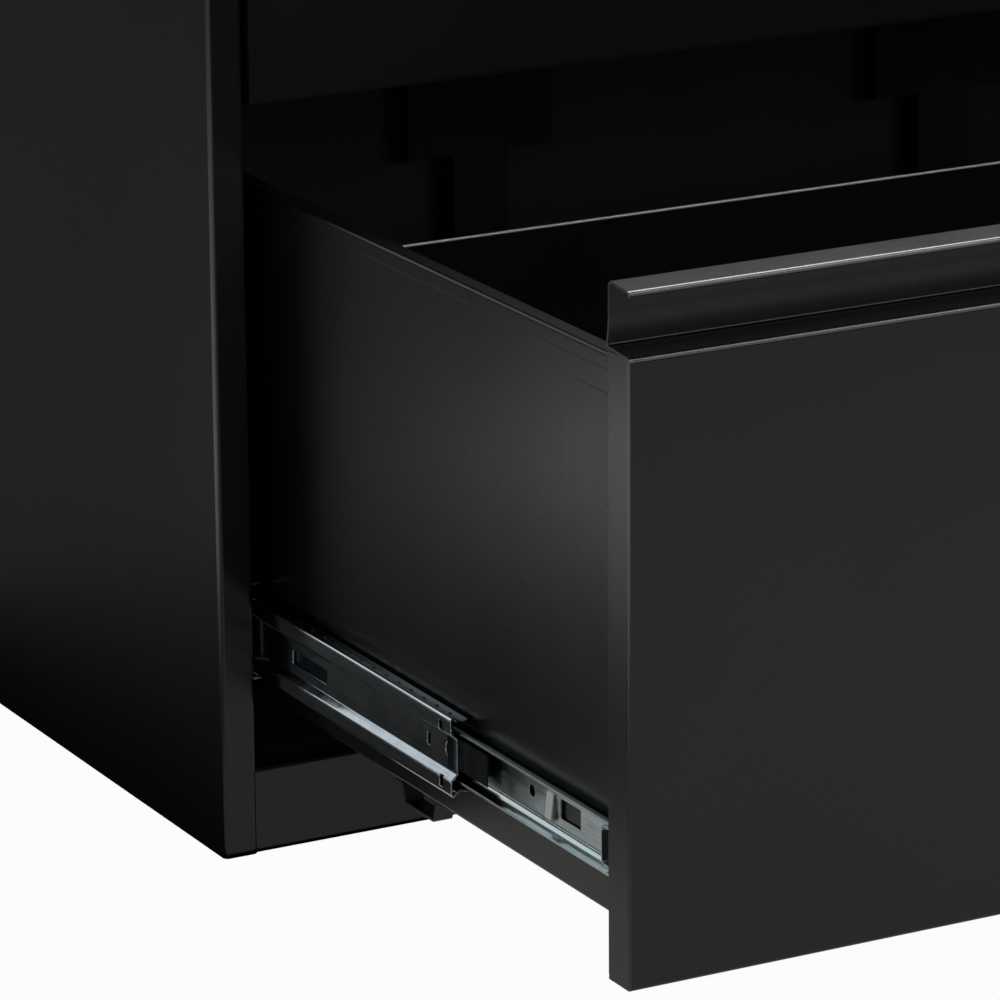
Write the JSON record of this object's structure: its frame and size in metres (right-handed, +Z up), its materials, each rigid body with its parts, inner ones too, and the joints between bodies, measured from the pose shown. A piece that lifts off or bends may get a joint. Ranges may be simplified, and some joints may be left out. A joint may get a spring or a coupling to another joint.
{
  "type": "metal filing cabinet",
  "caption": "Low, wide black steel filing cabinet with full-width recessed pulls and drawers on ball-bearing slides.",
  "frame": {"origin": "on the floor, under the middle of the box around everything with the lower drawer as stored", "axes": "+X along the width, to the right of a person facing the drawers; +Y from the front to the back; +Z up"},
  "size_m": [1.067, 0.8094, 0.711],
  "materials": {
    "black_paint": "semi-gloss black powder coat with a fine texture",
    "zinc_plate": "bright zinc plate with a faint blue-green tint",
    "cage_steel": "dark blued steel",
    "lock_metal": "polished",
    "bare_steel": "bare mill finish",
    "glide_plastic": "matt black"
  },
  "bodies": {
    "case": {"left_side_panel": "black_paint", "right_side_panel": "black_paint", "back_panel": "black_paint", "top_cap": "black_paint", "top_rail": "black_paint", "bottom_rail": "black_paint", "rear_rail": "black_paint", "base_pan": "black_paint", "counterweight": "bare_steel", "front_left_post": "black_paint", "front_right_post": "black_paint", "rear_left_post": "black_paint", "rear_right_post": "black_paint", "rear_left_bracket": "black_paint", "rear_right_bracket": "black_paint", "lock_housing": "lock_metal", "lower_left_cabinet_member": "zinc_plate", "lower_right_cabinet_member": "zinc_plate", "upper_left_cabinet_member": "zinc_plate", "upper_right_cabinet_member": "zinc_plate"},
    "lower_drawer": {"lower_drawer_front": "black_paint", "lower_front_liner": "black_paint", "lower_drawer_left_side": "black_paint", "lower_drawer_right_side": "black_paint", "lower_drawer_bottom": "black_paint", "lower_drawer_back": "black_paint", "lower_catch_loop": "black_paint", "lower_keeper": "zinc_plate", "lower_left_drawer_member": "zinc_plate", "lower_right_drawer_member": "zinc_plate"},
    "lower_middle_slides": {"lower_left_middle_member": "zinc_plate", "lower_right_middle_member": "zinc_plate"},
    "lower_outer_cages": {"lower_left_outer_ball_cage": "cage_steel", "lower_right_outer_ball_cage": "cage_steel"},
    "lower_inner_cages": {"lower_left_inner_ball_cage": "cage_steel", "lower_right_inner_ball_cage": "cage_steel"},
    "upper_drawer": {"upper_drawer_front": "black_paint", "upper_front_liner": "black_paint", "upper_drawer_left_side": "black_paint", "upper_drawer_right_side": "black_paint", "upper_drawer_bottom": "black_paint", "upper_drawer_back": "black_paint", "upper_catch_loop": "black_paint", "upper_keeper": "zinc_plate", "upper_left_drawer_member": "zinc_plate", "upper_right_drawer_member": "zinc_plate"},
    "upper_middle_slides": {"upper_left_middle_member": "zinc_plate", "upper_right_middle_member": "zinc_plate"},
    "upper_outer_cages": {"upper_left_outer_ball_cage": "cage_steel", "upper_right_outer_ball_cage": "cage_steel"},
    "upper_inner_cages": {"upper_left_inner_ball_cage": "cage_steel", "upper_right_inner_ball_cage": "cage_steel"},
    "lock_cylinder": {"lock_plug": "lock_metal", "lock_cam": "zinc_plate"},
    "lock_bar": {"lock_bar": "zinc_plate"},
    "front_left_glide": {"front_left_glide": "glide_plastic"},
    "front_right_glide": {"front_right_glide": "glide_plastic"},
    "rear_left_glide": {"rear_left_glide": "glide_plastic"},
    "rear_right_glide": {"rear_right_glide": "glide_plastic"}
  },
  "joints": [
    {"name": "lower_drawer_slide", "type": "slide", "parent": "case", "child": "lower_drawer", "axis": [0, -1, 0], "range_m": [-0.3365, 0.0695]},
    {"name": "lower_middle_slides_slide", "type": "slide", "parent": "case", "child": "lower_middle_slides", "axis": [0, -1, 0], "range_m": [-0.2029, 0.0427]},
    {"name": "lower_outer_cages_slide", "type": "slide", "parent": "case", "child": "lower_outer_cages", "axis": [0, -1, 0], "range_m": [-0.10195, 0.02185]},
    {"name": "lower_inner_cages_slide", "type": "slide", "parent": "case", "child": "lower_inner_cages", "axis": [0, -1, 0], "range_m": [-0.2702, 0.0566]},
    {"name": "upper_drawer_slide", "type": "slide", "parent": "case", "child": "upper_drawer", "axis": [0, -1, 0], "range_m": [0, 0.406]},
    {"name": "upper_middle_slides_slide", "type": "slide", "parent": "case", "child": "upper_middle_slides", "axis": [0, -1, 0], "range_m": [0, 0.2446]},
    {"name": "upper_outer_cages_slide", "type": "slide", "parent": "case", "child": "upper_outer_cages", "axis": [0, -1, 0], "range_m": [0, 0.1228]},
    {"name": "upper_inner_cages_slide", "type": "slide", "parent": "case", "child": "upper_inner_cages", "axis": [0, -1, 0], "range_m": [0, 0.3258]},
    {"name": "lock_bar_lift", "type": "slide", "parent": "case", "child": "lock_bar", "axis": [0, 0, 1], "range_m": [0, 0.012]},
    {"name": "lock_turn", "type": "hinge", "parent": "case", "child": "lock_cylinder", "pos_m": [0.4995, -0.06825, 0.6658], "axis": [0, 1, 0], "range_deg": [0, 90]},
    {"name": "front_left_glide_screw", "type": "slide", "parent": "case", "child": "front_left_glide", "axis": [0, 0, -1], "range_m": [0, 0.012]},
    {"name": "front_right_glide_screw", "type": "slide", "parent": "case", "child": "front_right_glide", "axis": [0, 0, -1], "range_m": [0, 0.012]},
    {"name": "rear_left_glide_screw", "type": "slide", "parent": "case", "child": "rear_left_glide", "axis": [0, 0, -1], "range_m": [0, 0.012]},
    {"name": "rear_right_glide_screw", "type": "slide", "parent": "case", "child": "rear_right_glide", "axis": [0, 0, -1], "range_m": [0, 0.012]}
  ],
  "couplings": [
    {"joint": "lower_middle_slides_slide", "follows": "lower_drawer_slide", "ratio": 0.6},
    {"joint": "lower_outer_cages_slide", "follows": "lower_drawer_slide", "ratio": 0.3},
    {"joint": "lower_inner_cages_slide", "follows": "lower_drawer_slide", "ratio": 0.8},
    {"joint": "upper_middle_slides_slide", "follows": "upper_drawer_slide", "ratio": 0.6},
    {"joint": "upper_outer_cages_slide", "follows": "upper_drawer_slide", "ratio": 0.3},
    {"joint": "upper_inner_cages_slide", "follows": "upper_drawer_slide", "ratio": 0.8},
    {"joint": "lock_turn", "follows": "lock_bar_lift", "rad_per_m": 130.89}
  ]
}
